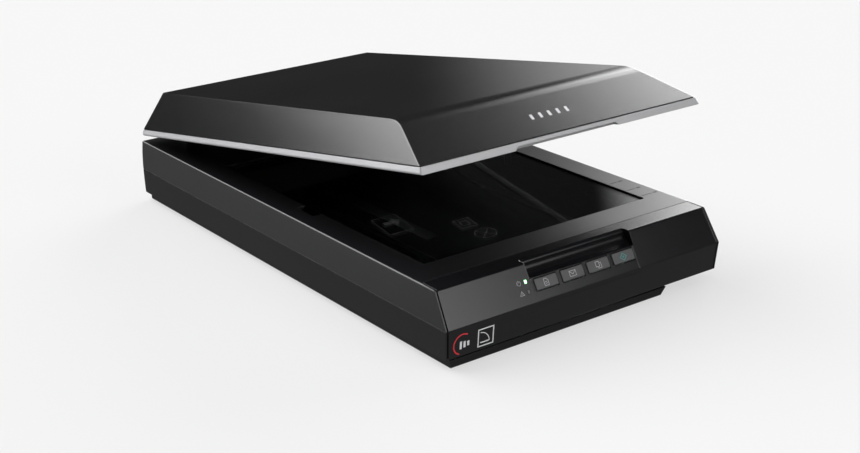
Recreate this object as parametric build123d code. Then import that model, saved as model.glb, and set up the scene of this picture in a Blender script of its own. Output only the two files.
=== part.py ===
from build123d import *
import math
import os

# Flatbed document and film scanner: a shallow base with a glass bed and a moving scan head,
# and a hinged lid with a film backlight. Millimetres. +X is to the right seen from the front,
# -Y is towards the user, +Z is up. The origin is on the desk, under the centre of the base.
# The lid is drawn closed and then carried to its rest pose, partly open.

# ---- base envelope ----
BASE_DEPTH = 485.0
FRONT_Y = -BASE_DEPTH / 2
BACK_Y = BASE_DEPTH / 2
DESK_Z = 0.0
LOW_Z = 8.0
SEAM_Z = 32.2
TOP_Z = 59.1
BAND_Z = 58.8
HALF_LOW = 138.7
HALF_SEAM = 140.0
HALF_TOP = 137.7
LOW_FRONT_SET = 2.5
BACK_DRAFT = 0.8
BAND_BACK_Y = -209.1
BAND_FRONT_Y = -226.5
WALL = 2.5
TOP_WALL = 2.0

# ---- plinth under the left and middle of the base ----
PLINTH_Z = 1.0
PLINTH_LEFT_X = -134.3
PLINTH_RIGHT_X = 78.0
PLINTH_RIGHT_SLOPE = 6.5
PLINTH_FRONT_Y = -239.6
PLINTH_BACK_Y = 205.0
SKIRT_BACK_Y = BACK_Y - 3.0

# ---- rubber feet ----
FOOT_R = 8.0
FOOT_TALL = 1.8
LEFT_FEET = [(-118.0, -222.0), (-118.0, 188.0), (60.0, -222.0)]
RIGHT_FEET = [(108.0, -196.0), (108.0, 214.0)]
FEET = LEFT_FEET + RIGHT_FEET

# ---- gaps between the outer pieces ----
SIDE_REVEAL = 2.4
SIDE_EDGE = 1.2
BAND_GAP = 0.5
PIECE_GAP = 0.3

# ---- glass bed: an A4 sheet with a margin ----
BED_HALF_X = 114.5
BED_FRONT_Y = -181.0
BED_BACK_Y = 122.0
BED_CORNER = 2.0
GLASS_MARGIN = 10.5
GLASS_THICK = 3.0
TAPE_THICK = 0.3
BED_LIP = 1.0
GLASS_TOP_Z = TOP_Z - BED_LIP - TAPE_THICK
HOLDER_NOTCH = (-122.7, -39.0, -13.0)

# ---- sloped control panel and its finger scoop ----
PANEL_X = -0.7
PANEL_DY = BAND_FRONT_Y - FRONT_Y
PANEL_DZ = BAND_Z - SEAM_Z
PANEL_LENGTH = math.hypot(PANEL_DY, PANEL_DZ)
PANEL_OUT = (0.0, -PANEL_DZ / PANEL_LENGTH, PANEL_DY / PANEL_LENGTH)
BUTTON_Z = 43.05
BUTTON_SIZE = (21.8, 9.0)
BUTTON_PITCH = 26.3
BUTTON_COUNT = 4
BUTTON_CLEAR = 0.65
BUTTON_TRAVEL = 0.8
LIGHT_X = -58.5
LIGHT_ZS = (47.1, 40.3)
LIGHT_SIZE = (2.0, 2.8)
SCOOP_HALF = 53.6
SCOOP_BACK_Y = -218.0
SCOOP_FLOOR_Z = 48.2
INSERT_HALF = 52.0
INSERT_LOW_Z = 29.5

# ---- lid, drawn closed ----
HINGE_Y = 237.7
HINGE_Z = 66.0
LID_ANGLE = 9.8
LID_LIFT = 6.0
LID_LOW_Z = 59.6
BAND_TOP_Z = 65.0
LID_HALF = 139.4
LID_INSET = 1.8
LID_FRONT_Y = -220.9
LID_BACK_Y = 240.2
LID_TOP_HALF = 116.8
LID_CREASE_Y = -167.4
LID_CREASE_Z = 93.0
LID_TOP_BACK_Y = 226.0
LID_TOP_BACK_Z = 97.6
LID_WALL = 2.5
LID_RIM = 8.4
LID_BEND_R = 42.0
LID_GAP = 0.6
LID_NOTCH_TALL = 2.7
LID_RIM_BACK = 12.0
FILM_WINDOW = (70.0, 240.0)
LID_SCREWS = [(side * 110.0, y) for side in (-1, 1) for y in (-140.0, 30.0, 205.0)]

# ---- hinges ----
HINGE_XS = (-85.0, 85.0)
POST_WIDTH = 24.0
POST_FRONT_Y = 231.6
POST_BACK_Y = 238.2
POST_LOW_Z = 20.0
BARREL_R = 4.0
HINGE_PIN_R = 2.0
RUNNING_FIT = 0.05
EAR_THICK = 4.2

# ---- scan head and its drive ----
SLIT_REST_Y = 130.0
HEAD_HALF_X = 112.0
HEAD_HALF_Y = 20.0
HEAD_LOW_Z = 24.0
HEAD_TOP_Z = 50.0
HEAD_WALL = 2.0
ROD_X = -72.0
ROD_Z = 17.0
ROD_R = 4.0
ROD_Y = (-206.0, 164.0)
RAIL_X = 100.0
BELT_X = -45.0
BELT_Z = 12.0
BELT_WIDTH = 4.0
BELT_THICK = 1.0
PULLEY_R = 6.5
DRIVE_Y = 176.0
IDLER_Y = -213.0
GEAR_MODULE = 0.6
GEAR_TEETH = 60
PINION_TEETH = 15
GEAR_Z = (22.0, 25.0)
GEAR_BACKLASH = 0.16
SHAFT_R = 1.5
MOTOR_R = 13.0

# ---- rear sockets ----
USB_X = 40.0
POWER_X = 62.0
LID_SOCKET_X = 14.0
SOCKET_Z = 20.0
POWER_BORE_R = 2.8
LID_SOCKET_R = 4.2
SOCKET_DEPTH = 9.0
LOCK_X = -40.0
LOCK_Z = 20.0

SCREW_XY = [(side * 131.2, y) for side in (-1, 1) for y in (-170.0, 20.0, 200.0)]


def block(x0, x1, y0, y1, z0, z1):
    """A plain block between two corners."""
    return Pos((x0 + x1) / 2, (y0 + y1) / 2, (z0 + z1) / 2) * Box(x1 - x0, y1 - y0, z1 - z0)


def upright(x, y, z0, z1, radius):
    """A vertical round bar."""
    return Pos(x, y, (z0 + z1) / 2) * Cylinder(radius, z1 - z0)


def along_y(x, z, y0, y1, radius):
    """A round bar that runs front to back."""
    return Pos(x, (y0 + y1) / 2, z) * Rot(90, 0, 0) * Cylinder(radius, y1 - y0)


def along_x(y, z, x0, x1, radius):
    """A round bar that runs left to right."""
    return Pos((x0 + x1) / 2, y, z) * Rot(0, 90, 0) * Cylinder(radius, x1 - x0)


def profile_xz(points, y0, y1):
    """A closed outline in the XZ plane, drawn out from y0 to y1."""
    outline = make_face(Polyline(*[(x, z) for x, z in points], close=True))
    return extrude(Plane(origin=(0, y1, 0), x_dir=(1, 0, 0), z_dir=(0, -1, 0)) * outline, y1 - y0)


def profile_yz(outline, x0, x1):
    """A face drawn in (y, z), drawn out from x0 to x1."""
    return extrude(Plane(origin=(x0, 0, 0), x_dir=(0, 1, 0), z_dir=(1, 0, 0)) * outline, x1 - x0)


def panel_place(x, z):
    """A place on the sloped panel: its +Z is straight out of the panel, its +Y up the slope."""
    y = FRONT_Y + PANEL_DY * (z - SEAM_Z) / PANEL_DZ
    return Plane(origin=(x, y, z), x_dir=(1, 0, 0), z_dir=PANEL_OUT).location


def corner_near(face, y, z):
    """The outline corner closest to a point."""
    return face.vertices().sort_by(lambda v: math.hypot(v.X - y, v.Y - z))[0]


# ------------------------------------------------------------------ base envelope

def base_sides(inset, floor_z, top_z):
    """The base's left-to-right section: a wide seam with two drafted facets each side."""
    points = [(HALF_LOW - inset, floor_z), (HALF_SEAM - inset, SEAM_Z), (HALF_TOP - inset, top_z)]
    left = [(-x, z) for x, z in reversed(points)]
    return profile_xz(points + left, FRONT_Y - 1, BACK_Y + 1)


def base_outer():
    """The whole outer form of the base above its plinth."""
    side = Polyline(
        (FRONT_Y + LOW_FRONT_SET, LOW_Z),
        (FRONT_Y, SEAM_Z),
        (BAND_FRONT_Y, BAND_Z),
        (BAND_BACK_Y, TOP_Z),
        (BACK_Y - BACK_DRAFT, TOP_Z),
        (BACK_Y, SEAM_Z),
        (BACK_Y - BACK_DRAFT, LOW_Z),
        close=True,
    )
    face = make_face(side)
    face = fillet(corner_near(face, BAND_FRONT_Y, BAND_Z), 2.2)
    face = fillet(corner_near(face, FRONT_Y, SEAM_Z), 0.8)
    face = fillet(corner_near(face, FRONT_Y + LOW_FRONT_SET, LOW_Z), 0.8)
    plan = make_face(Polyline(
        (-HALF_SEAM, FRONT_Y), (HALF_SEAM, FRONT_Y), (HALF_SEAM, BACK_Y), (-HALF_SEAM, BACK_Y), close=True,
    ))
    plan = fillet(plan.vertices().group_by(Axis.Y)[-1], 3.0)
    body = base_sides(0, LOW_Z, TOP_Z)
    body = fillet(body.edges().filter_by(Axis.Y).group_by(Axis.Z)[-1], 1.2)
    body = body & profile_yz(face, -HALF_SEAM - 1, HALF_SEAM + 1)
    return body & extrude(plan, TOP_Z + 1)


def base_inner():
    """The hollow of the base above its floor."""
    side = Polyline(
        (FRONT_Y + LOW_FRONT_SET + WALL, LOW_Z + WALL),
        (FRONT_Y + WALL, SEAM_Z),
        (BAND_FRONT_Y + 2.2, TOP_Z - TOP_WALL),
        (BACK_Y - WALL - BACK_DRAFT, TOP_Z - TOP_WALL),
        (BACK_Y - WALL, SEAM_Z),
        (BACK_Y - WALL - BACK_DRAFT, LOW_Z + WALL),
        close=True,
    )
    return base_sides(WALL, LOW_Z + WALL, TOP_Z - TOP_WALL) & profile_yz(make_face(side), -140, 140)


def plinth(inset, low_z, top_z, front_y=PLINTH_FRONT_Y, back_y=PLINTH_BACK_Y):
    """The deep middle of the tray, which reaches nearly to the desk."""
    points = [
        (PLINTH_LEFT_X + inset, low_z),
        (PLINTH_RIGHT_X - inset, low_z),
        (PLINTH_RIGHT_X + PLINTH_RIGHT_SLOPE - inset, LOW_Z),
        (PLINTH_RIGHT_X + PLINTH_RIGHT_SLOPE - inset, top_z),
        (PLINTH_LEFT_X + inset, top_z),
    ]
    return profile_xz(points, front_y + inset, back_y - inset)


def rear_skirt_hollow():
    """The open underside of the low skirt behind the plinth."""
    right_x = PLINTH_RIGHT_X - WALL
    return block(PLINTH_LEFT_X + WALL, right_x, PLINTH_BACK_Y, SKIRT_BACK_Y - WALL, 0, LOW_Z)


def fascia_zone(inset, band_back_y):
    """The room of the front piece: between the side walls, band and panel above, front wall below."""
    sides = base_sides(inset, LOW_Z - 1, TOP_Z + 1)
    upper = block(-140, 140, FRONT_Y - 1, band_back_y, SEAM_Z, TOP_Z + 1)
    lower = block(-140, 140, FRONT_Y - 1, FRONT_Y + LOW_FRONT_SET + WALL + 0.4, LOW_Z - 1, SEAM_Z)
    return sides & (upper + lower)


OUTER = base_outer()
INNER = base_inner()
SHELL = OUTER - INNER


# ------------------------------------------------------------------ base pieces

def rear_cutouts():
    """The holes in the rear wall for the sockets and the lock lever."""
    cuts = block(USB_X - 6.3, USB_X + 6.3, BACK_Y - 4, BACK_Y + 1, SOCKET_Z - 5.8, SOCKET_Z + 5.8)
    cuts += along_y(POWER_X, SOCKET_Z, BACK_Y - 4, BACK_Y + 1, 5.3)
    cuts += along_y(LID_SOCKET_X, SOCKET_Z, BACK_Y - 4, BACK_Y + 1, 6.3)
    return cuts + block(LOCK_X - 11, LOCK_X + 11, BACK_Y - 4, BACK_Y + 1, LOCK_Z - 3, LOCK_Z + 3)


def lower_case():
    """The tray: floor, lower side walls, plinth and skirt, right-hand legs, bosses, rod supports."""
    wing_floor = LOW_Z + WALL
    tray = SHELL & block(-141, 141, FRONT_Y - 1, BACK_Y + 1, 0, SEAM_Z)
    tray += plinth(0, PLINTH_Z, wing_floor)
    tray -= plinth(WALL, PLINTH_Z + WALL, wing_floor + 1)
    tray += plinth(0, PLINTH_Z, wing_floor, PLINTH_BACK_Y - WALL, SKIRT_BACK_Y)
    tray -= rear_skirt_hollow()
    tray -= fascia_zone(SIDE_EDGE, BAND_BACK_Y)
    for x, y in RIGHT_FEET:
        tray += upright(x, y, FOOT_TALL - 0.2, wing_floor, FOOT_R + 1.5)
    for x, y in SCREW_XY:
        tray += upright(x, y, floor_at(x, y), SEAM_Z, 3.6)
        tray -= upright(x, y, 0, SEAM_Z + 1, 1.7)
        tray -= upright(x, y, 0, floor_at(x, y) + 1.2, 3.0)
    for y in (ROD_Y[0] + 5, ROD_Y[1] - 5):
        tray += block(ROD_X - 7, ROD_X + 7, y - 3, y + 3, PLINTH_Z + WALL - 0.5, ROD_Z)
    tray -= along_y(ROD_X, ROD_Z, *ROD_Y, ROD_R)
    tray += block(RAIL_X - 5, RAIL_X + 5, -200, 162, wing_floor - 0.5, HEAD_LOW_Z - 5.2)
    for x, y in FEET:
        tray -= upright(x, y, 0, FOOT_TALL, FOOT_R + 0.1)
    return tray - rear_cutouts()


def floor_at(x, y):
    """The underside of the tray at a place: the plinth, or the shallower wing beside it."""
    in_x = PLINTH_LEFT_X + 4 < x < PLINTH_RIGHT_X
    return PLINTH_Z if in_x and y < PLINTH_BACK_Y - 3 else LOW_Z


def rubber_feet():
    """Round rubber pads let into the underside."""
    pads = [upright(x, y, DESK_Z, FOOT_TALL, FOOT_R) for x, y in FEET]
    return Compound(children=[chamfer(pad.edges().group_by(Axis.Z)[0], 0.4) for pad in pads])


def bed_opening(grow, z0, z1):
    """The bed opening with its side notch, as a cutter."""
    hole = block(-BED_HALF_X - grow, BED_HALF_X + grow, BED_FRONT_Y - grow, BED_BACK_Y + grow, z0, z1)
    hole = fillet(hole.edges().filter_by(Axis.Z), BED_CORNER + grow)
    x0, y0, y1 = HOLDER_NOTCH
    return hole + block(x0 - grow, -BED_HALF_X, y0 - grow, y1 + grow, z0, z1)


def post_sleeve(x, grow, z0, z1):
    """The upright pocket that a hinge post slides in."""
    half = POST_WIDTH / 2 + grow
    return block(x - half, x + half, POST_FRONT_Y - grow, POST_BACK_Y + grow, z0, z1)


def upper_case():
    """The top frame round the glass with the upper side walls and the hinge pockets."""
    frame = SHELL & block(-141, 141, FRONT_Y - 1, BACK_Y + 1, SEAM_Z, TOP_Z + 1)
    frame -= fascia_zone(SIDE_EDGE, BAND_BACK_Y + BAND_GAP)
    frame -= bed_opening(0, TOP_Z - 5, TOP_Z + 1)
    half = BED_HALF_X + GLASS_MARGIN + 0.3
    frame -= block(-half, half, BED_FRONT_Y - 8.3, BED_BACK_Y + 22.3, TOP_Z - TOP_WALL - 1, TOP_Z - BED_LIP)
    for x, y in SCREW_XY:
        frame += upright(x, y, SEAM_Z, TOP_Z - TOP_WALL + 0.2, 3.4)
        frame -= upright(x, y, SEAM_Z - 1, 46, 1.5)
    for x in HINGE_XS:
        frame += post_sleeve(x, 2.2, SEAM_Z + 1, TOP_Z - 1) & OUTER
        frame -= post_sleeve(x, PIECE_GAP, SEAM_Z, TOP_Z + 1)
    return frame


def document_glass():
    """The bed glass, ground edges."""
    half = BED_HALF_X + GLASS_MARGIN
    pane = block(-half, half, BED_FRONT_Y - 8, BED_BACK_Y + 22, GLASS_TOP_Z - GLASS_THICK, GLASS_TOP_Z)
    return chamfer(pane.edges(), 0.4)


def glass_seal():
    """The thin foam tape between the glass and the frame."""
    half = BED_HALF_X + GLASS_MARGIN - 0.6
    tape = block(-half, half, BED_FRONT_Y - 7, BED_BACK_Y + 5, GLASS_TOP_Z, GLASS_TOP_Z + TAPE_THICK)
    return tape - bed_opening(1.2, GLASS_TOP_Z - 1, TOP_Z)


def calibration_strip():
    """The white reference strip under the frame at the head's home end."""
    return block(-108, 108, BED_BACK_Y + 6, BED_BACK_Y + 20, GLASS_TOP_Z, GLASS_TOP_Z + TAPE_THICK)


def scoop_cutter():
    """The hollow that fingers reach into: a rolled lip above a concave wall."""
    lip = ThreePointArc((SCOOP_BACK_Y, TOP_Z + 0.1), (-220.6, 57.9), (-221.9, 55.2))
    bowl = ThreePointArc((-221.9, 55.2), (-224.6, 50.4), (-232.9, SCOOP_FLOOR_Z))
    rest = Polyline((-232.9, SCOOP_FLOOR_Z), (-240, SCOOP_FLOOR_Z), (-240, 63), (SCOOP_BACK_Y, 63),
                    (SCOOP_BACK_Y, TOP_Z + 0.1))
    face = make_face([lip, bowl, rest])
    x0 = PANEL_X - SCOOP_HALF
    x1 = PANEL_X + SCOOP_HALF
    plan = block(x0, x1, -245, SCOOP_BACK_Y, 40, 64)
    plan = fillet(plan.edges().filter_by(Axis.Z).group_by(Axis.Y)[-1], 5.0)
    return profile_yz(face, x0, x1) & plan


def scoop_backing():
    """The wall behind and below the finger scoop."""
    outline = make_face(Polyline(
        (-213, 58), (-218.5, 51.5), (-223, 48.2), (-229, 47.1),
        (-236, 47.1), (-240, 50), (-240, 62), (-213, 62),
        close=True,
    ))
    body = profile_yz(outline, PANEL_X - SCOOP_HALF - 3, PANEL_X + SCOOP_HALF + 3)
    upper = body & OUTER & block(-80, 80, -245, -200, SCOOP_FLOOR_Z + 0.3, TOP_Z + 1)
    lower = body & INNER & block(-80, 80, -245, -200, 40, SCOOP_FLOOR_Z + 0.3)
    return upper + lower


def insert_zone(grow):
    """The room of the button insert, across the fold of the front."""
    x0 = PANEL_X - INSERT_HALF - grow
    x1 = PANEL_X + INSERT_HALF + grow
    return block(x0, x1, FRONT_Y - 1, -226, INSERT_LOW_Z - grow, SCOOP_FLOOR_Z + 0.3)


def light_windows(grow):
    """The two lamp windows left of the buttons."""
    bars = [panel_place(LIGHT_X, z) * Box(LIGHT_SIZE[0] + grow, LIGHT_SIZE[1] + grow, 12) for z in LIGHT_ZS]
    return bars[0] + bars[1]


def front_fascia():
    """The front piece: top band, sloped panel and front wall in one moulding."""
    front = SHELL & fascia_zone(SIDE_REVEAL, BAND_BACK_Y)
    front -= insert_zone(PIECE_GAP)
    front += scoop_backing()
    front -= scoop_cutter()
    return front - light_windows(0.3)


def button_xs():
    """The buttons' places across the panel."""
    first = PANEL_X - BUTTON_PITCH * (BUTTON_COUNT - 1) / 2
    return [first + BUTTON_PITCH * index for index in range(BUTTON_COUNT)]


def button_insert():
    """The folded strip that holds the row of buttons."""
    strip = SHELL & insert_zone(0)
    strip -= scoop_cutter()
    for x in button_xs():
        window = Box(BUTTON_SIZE[0] + 2 * BUTTON_CLEAR, BUTTON_SIZE[1] + 2 * BUTTON_CLEAR, 14)
        strip -= panel_place(x, BUTTON_Z) * window
    return strip


def button(x):
    """A key cap, slightly proud of the panel, with its plunger."""
    width, height = BUTTON_SIZE
    cap = Pos(0, 0, -1.2) * Box(width, height, 3.2)
    cap = fillet(cap.edges().filter_by(Axis.Z), 0.7)
    cap = fillet(cap.faces().sort_by(Axis.Z)[-1].edges(), 0.4)
    cap += Pos(0, 0, -3.4) * Cylinder(1.6, 1.6)
    return panel_place(x, BUTTON_Z) * cap


def light_pipe(z):
    """A clear lamp window with its stem."""
    pipe = Pos(0, 0, -1.9) * Box(LIGHT_SIZE[0], LIGHT_SIZE[1], 4.0)
    pipe = fillet(pipe.edges().filter_by(Axis.Z), 0.6)
    return panel_place(LIGHT_X, z) * pipe


def switch_board():
    """The key board behind the panel with a tact switch for each button."""
    board = Pos(0, -3.2, -9.6) * Box(132, 13, 1.4)
    for x in button_xs():
        local = x - PANEL_X
        board += Pos(local, -0.4, -7.6) * Box(6, 6, 2.8)
        board += Pos(local, -0.4, -5.9) * Cylinder(1.6, 0.8)
    return panel_place(PANEL_X, BUTTON_Z) * board


# ------------------------------------------------------------------ rear sockets and boards

def usb_socket():
    """A square data socket with its tongue."""
    shell = block(USB_X - 6, USB_X + 6, BACK_Y - 16.5, BACK_Y - 0.9, SOCKET_Z - 5.5, SOCKET_Z + 5.5)
    shell -= block(USB_X - 4.2, USB_X + 4.2, BACK_Y - 11, BACK_Y, SOCKET_Z - 3.9, SOCKET_Z + 3.9)
    tongue_z = SOCKET_Z + 0.3
    tongue = block(USB_X - 2.8, USB_X + 2.8, BACK_Y - 11.5, BACK_Y - 6.5, tongue_z - 1.5, tongue_z + 1.5)
    return shell + tongue


def round_socket(x, outer_r, bore_r):
    """A round socket let through the rear wall, on a square body."""
    body = along_y(x, SOCKET_Z, BACK_Y - 6, BACK_Y - 0.9, outer_r)
    body += block(x - outer_r, x + outer_r, BACK_Y - 14, BACK_Y - 6, SOCKET_Z - outer_r, SOCKET_Z + outer_r)
    return body - along_y(x, SOCKET_Z, BACK_Y - 0.9 - SOCKET_DEPTH, BACK_Y, bore_r)


def main_board():
    """The controller board with its larger chips and the flat-cable connector."""
    z0 = LOW_Z + WALL + 0.5
    board = block(-6, 70.5, 172, 238, z0, z0 + 1.6)
    for x, y, size, tall in ((30, 192, 16, 2), (52, 190, 12, 2), (12, 210, 9, 3), (58, 212, 8, 6)):
        board += block(x - size / 2, x + size / 2, y - size / 2, y + size / 2, z0 + 1.4, z0 + 1.6 + tall)
    return board + block(-2, 14, 173, 177, z0 + 1.4, z0 + 5)


def flat_cable():
    """The flat lead from the board, taped along the tray floor under the head's path."""
    z0 = PLINTH_Z + WALL
    strip = block(-2, 12, -30, 168, z0, z0 + 0.3)
    strip += block(-2, 12, 167.7, 168, z0, LOW_Z + WALL + 3.3)
    return strip + block(-2, 12, 168, 173, LOW_Z + WALL + 3.0, LOW_Z + WALL + 3.3)


def transport_lock():
    """The lever that locks the head for carrying: a ribbed thumb pad with a plate behind it."""
    pad = block(LOCK_X - 9.5, LOCK_X - 1.5, BACK_Y - 3.4, BACK_Y - 0.6, LOCK_Z - 2.5, LOCK_Z + 2.5)
    for step in range(3):
        x = LOCK_X - 7.7 + step * 2.2
        pad -= block(x - 0.4, x + 0.4, BACK_Y - 1.1, BACK_Y, LOCK_Z - 3, LOCK_Z + 3)
    plate = block(LOCK_X - 12, LOCK_X + 1, BACK_Y - 5.4, BACK_Y - 3.8, LOCK_Z - 5, LOCK_Z + 5)
    neck = block(LOCK_X - 8, LOCK_X - 3, BACK_Y - 4.2, BACK_Y - 3.0, LOCK_Z - 2, LOCK_Z + 2)
    tongue = block(LOCK_X - 7, LOCK_X - 4, BACK_Y - 16, BACK_Y - 5.2, LOCK_Z - 2, LOCK_Z + 2)
    return pad + neck + plate + tongue


# ------------------------------------------------------------------ drive

def gear_outline(teeth, bore_phase):
    """An involute spur gear outline, thinned for backlash."""
    pitch_r = GEAR_MODULE * teeth / 2
    base_r = pitch_r * math.cos(math.radians(20))
    tip_r = pitch_r + GEAR_MODULE
    root_r = pitch_r - 1.25 * GEAR_MODULE
    half_tooth = math.pi / (2 * teeth) - GEAR_BACKLASH / (2 * pitch_r)
    at_pitch = math.tan(math.radians(20)) - math.radians(20)

    def flank(radius):
        angle = math.acos(min(1.0, base_r / radius))
        return half_tooth + at_pitch - (math.tan(angle) - angle)

    start_r = max(base_r, root_r)
    radii = [start_r + (tip_r - start_r) * step / 3 for step in range(4)]
    points = []
    for tooth in range(teeth):
        middle = 2 * math.pi * tooth / teeth + bore_phase
        side = [(root_r, flank(start_r))] + [(r, flank(r)) for r in radii]
        for r, a in side:
            points.append((r * math.cos(middle - a), r * math.sin(middle - a)))
        for r, a in reversed(side):
            points.append((r * math.cos(middle + a), r * math.sin(middle + a)))
    distinct = [points[0]]
    for point in points[1:]:
        if math.dist(point, distinct[-1]) > 1e-4:
            distinct.append(point)
    return make_face(Polyline(*distinct, close=True))


GEAR_DISTANCE = GEAR_MODULE * (GEAR_TEETH + PINION_TEETH) / 2
MOTOR_X = BELT_X + GEAR_DISTANCE


def reduction_gear():
    """The large gear on the drive pulley's shaft."""
    z0, z1 = GEAR_Z
    gear = extrude(gear_outline(GEAR_TEETH, 0.0), z1 - z0) - Cylinder(SHAFT_R, 20)
    for index in range(5):
        gear -= Rot(0, 0, 72 * index) * Pos(10.5, 0, 0) * Cylinder(3.2, 20)
    return Pos(BELT_X, DRIVE_Y, z0) * gear


def drive_pulley():
    """The flanged belt pulley with its shaft through the bracket."""
    low = BELT_Z - BELT_WIDTH / 2 - 0.5
    high = BELT_Z + BELT_WIDTH / 2 + 0.5
    pulley = upright(BELT_X, DRIVE_Y, low, high, PULLEY_R - RUNNING_FIT)
    for z in (low - 1, high):
        pulley += upright(BELT_X, DRIVE_Y, z, z + 1, PULLEY_R + 1.6)
    return pulley + upright(BELT_X, DRIVE_Y, low - 2, GEAR_Z[1] + 2, SHAFT_R)


def motor_pinion():
    """The small brass gear on the motor's shaft."""
    z0, z1 = GEAR_Z
    phase = math.pi / PINION_TEETH + math.pi
    pinion = extrude(gear_outline(PINION_TEETH, phase), z1 - z0 + 1) + Pos(0, 0, -2) * Cylinder(SHAFT_R, 10)
    return Pos(MOTOR_X, DRIVE_Y, z0) * pinion


def stepper_motor():
    """The can motor under the bracket, with its flange ears."""
    top = GEAR_Z[0] - 2.6
    can = upright(MOTOR_X, DRIVE_Y, 4.5, top, MOTOR_R)
    can += upright(MOTOR_X, DRIVE_Y, top - 0.2, top + 1.0, 4)
    for side in (-1, 1):
        ear_y = DRIVE_Y + side * 15
        can += block(MOTOR_X - 3, MOTOR_X + 3, ear_y - 3.5, ear_y + 3.5, top - 1, top)
    return can - upright(MOTOR_X, DRIVE_Y, 13, top + 3, SHAFT_R + RUNNING_FIT)


def motor_bracket():
    """The pressed steel plate that carries the motor and the gear shaft."""
    z0 = GEAR_Z[0] - 2.6
    plate = block(BELT_X - 12, MOTOR_X + 12, DRIVE_Y - 16, DRIVE_Y + 22, z0, z0 + 1.2)
    plate += block(BELT_X - 12, MOTOR_X + 12, DRIVE_Y + 20.8, DRIVE_Y + 22, PLINTH_Z + WALL, z0 + 1.2)
    plate -= upright(BELT_X, DRIVE_Y, z0 - 1, z0 + 2, SHAFT_R + RUNNING_FIT)
    return plate - upright(MOTOR_X, DRIVE_Y, z0 - 1, z0 + 2, 4.1)


def idler_bracket():
    """The sliding fork that holds the idler pulley and tensions the belt."""
    low = BELT_Z - BELT_WIDTH / 2 - 1.9
    fork = block(BELT_X - 9, BELT_X + 9, IDLER_Y - 11, IDLER_Y + 4, low - 1.6, low)
    fork += block(BELT_X - 9, BELT_X + 9, IDLER_Y - 11, IDLER_Y - 9.4, low - 1.6, BELT_Z + 6)
    wall_y = PLINTH_FRONT_Y + WALL + 0.2
    fork += block(BELT_X - 9, BELT_X + 9, wall_y, IDLER_Y - 9.4, PLINTH_Z + WALL, low - 1.5)
    return fork + upright(BELT_X, IDLER_Y, low - 1, BELT_Z + 4, SHAFT_R)


def idler_pulley():
    """The plain idler wheel at the front."""
    low = BELT_Z - BELT_WIDTH / 2 - 0.5
    high = BELT_Z + BELT_WIDTH / 2 + 0.5
    wheel = upright(BELT_X, IDLER_Y, low, high, PULLEY_R - RUNNING_FIT)
    for z in (low - 1, high):
        wheel += upright(BELT_X, IDLER_Y, z, z + 1, PULLEY_R + 1.6)
    return wheel - upright(BELT_X, IDLER_Y, low - 3, high + 3, SHAFT_R + RUNNING_FIT)


def tension_spring():
    """The coil that pulls the idler fork forward."""
    coil = Helix(pitch=1.6, height=9.6, radius=2.4)
    wire = sweep(Plane(coil @ 0, z_dir=coil % 0) * Circle(0.35), path=coil, is_frenet=True)
    return Pos(BELT_X, IDLER_Y - 21.2, BELT_Z) * Rot(-90, 0, 0) * wire


def drive_belt():
    """The belt: two straight runs and a half turn round each pulley."""
    z0 = BELT_Z - BELT_WIDTH / 2

    def loop(radius):
        ends = Pos(BELT_X, DRIVE_Y) * Circle(radius) + Pos(BELT_X, IDLER_Y) * Circle(radius)
        return ends + Pos(BELT_X, (DRIVE_Y + IDLER_Y) / 2) * Rectangle(2 * radius, DRIVE_Y - IDLER_Y)

    return Pos(0, 0, z0) * extrude(loop(PULLEY_R + BELT_THICK) - loop(PULLEY_R), BELT_WIDTH)


def guide_rod():
    """The ground steel rod that the head runs on."""
    rod = along_y(ROD_X, ROD_Z, *ROD_Y, ROD_R)
    return chamfer(rod.edges(), 0.5)


def rod_clips():
    """Two sheet clamps that hold the rod down."""
    clips = []
    for y in (ROD_Y[0] + 5, ROD_Y[1] - 5):
        strap = block(ROD_X - 7, ROD_X + 7, y - 2.5, y + 2.5, ROD_Z, ROD_Z + 5)
        strap -= along_y(ROD_X, ROD_Z, *ROD_Y, ROD_R)
        clips.append(strap)
    return Compound(children=clips)


def support_rail():
    """The steel strip that the head's free side slides on."""
    return block(RAIL_X - 4, RAIL_X + 4, -198, 160, HEAD_LOW_Z - 5.2, HEAD_LOW_Z - 4.2)


# ------------------------------------------------------------------ scan head


def head_housing():
    """The black optical box: open below, with the scan slit on top and the rod blocks beneath."""
    y0 = SLIT_REST_Y - HEAD_HALF_Y
    y1 = SLIT_REST_Y + HEAD_HALF_Y
    box = block(-HEAD_HALF_X, HEAD_HALF_X, y0, y1, HEAD_LOW_Z, HEAD_TOP_Z)
    box = fillet(box.edges().filter_by(Axis.Z), 3)
    inside = block(-HEAD_HALF_X + HEAD_WALL, HEAD_HALF_X - HEAD_WALL, y0 + HEAD_WALL, y1 - HEAD_WALL,
                   HEAD_LOW_Z - 1, HEAD_TOP_Z - HEAD_WALL)
    box -= inside
    box -= block(-106, 106, SLIT_REST_Y - 2, SLIT_REST_Y + 2, HEAD_TOP_Z - 4, HEAD_TOP_Z + 1)
    for y in (y0 + 5, y1 - 5):
        box += block(ROD_X - 8, ROD_X + 8, y - 5, y + 5, ROD_Z - 8, HEAD_LOW_Z + 3)
    box -= along_y(ROD_X, ROD_Z, y0 - 1, y1 + 1, 5.5)
    return box


def rod_bushes():
    """Two plain bushes that run on the guide rod."""
    rings = []
    for y in (SLIT_REST_Y - HEAD_HALF_Y + 5, SLIT_REST_Y + HEAD_HALF_Y - 5):
        ring = along_y(ROD_X, ROD_Z, y - 5, y + 5, 5.5)
        rings.append(ring - along_y(ROD_X, ROD_Z, y - 6, y + 6, ROD_R + RUNNING_FIT))
    return Compound(children=rings)


def slide_pad():
    """The slippery shoe under the head's free side."""
    return block(RAIL_X - 4, RAIL_X + 4, SLIT_REST_Y - 8, SLIT_REST_Y + 8, HEAD_LOW_Z - 3.8, HEAD_LOW_Z)


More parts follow.
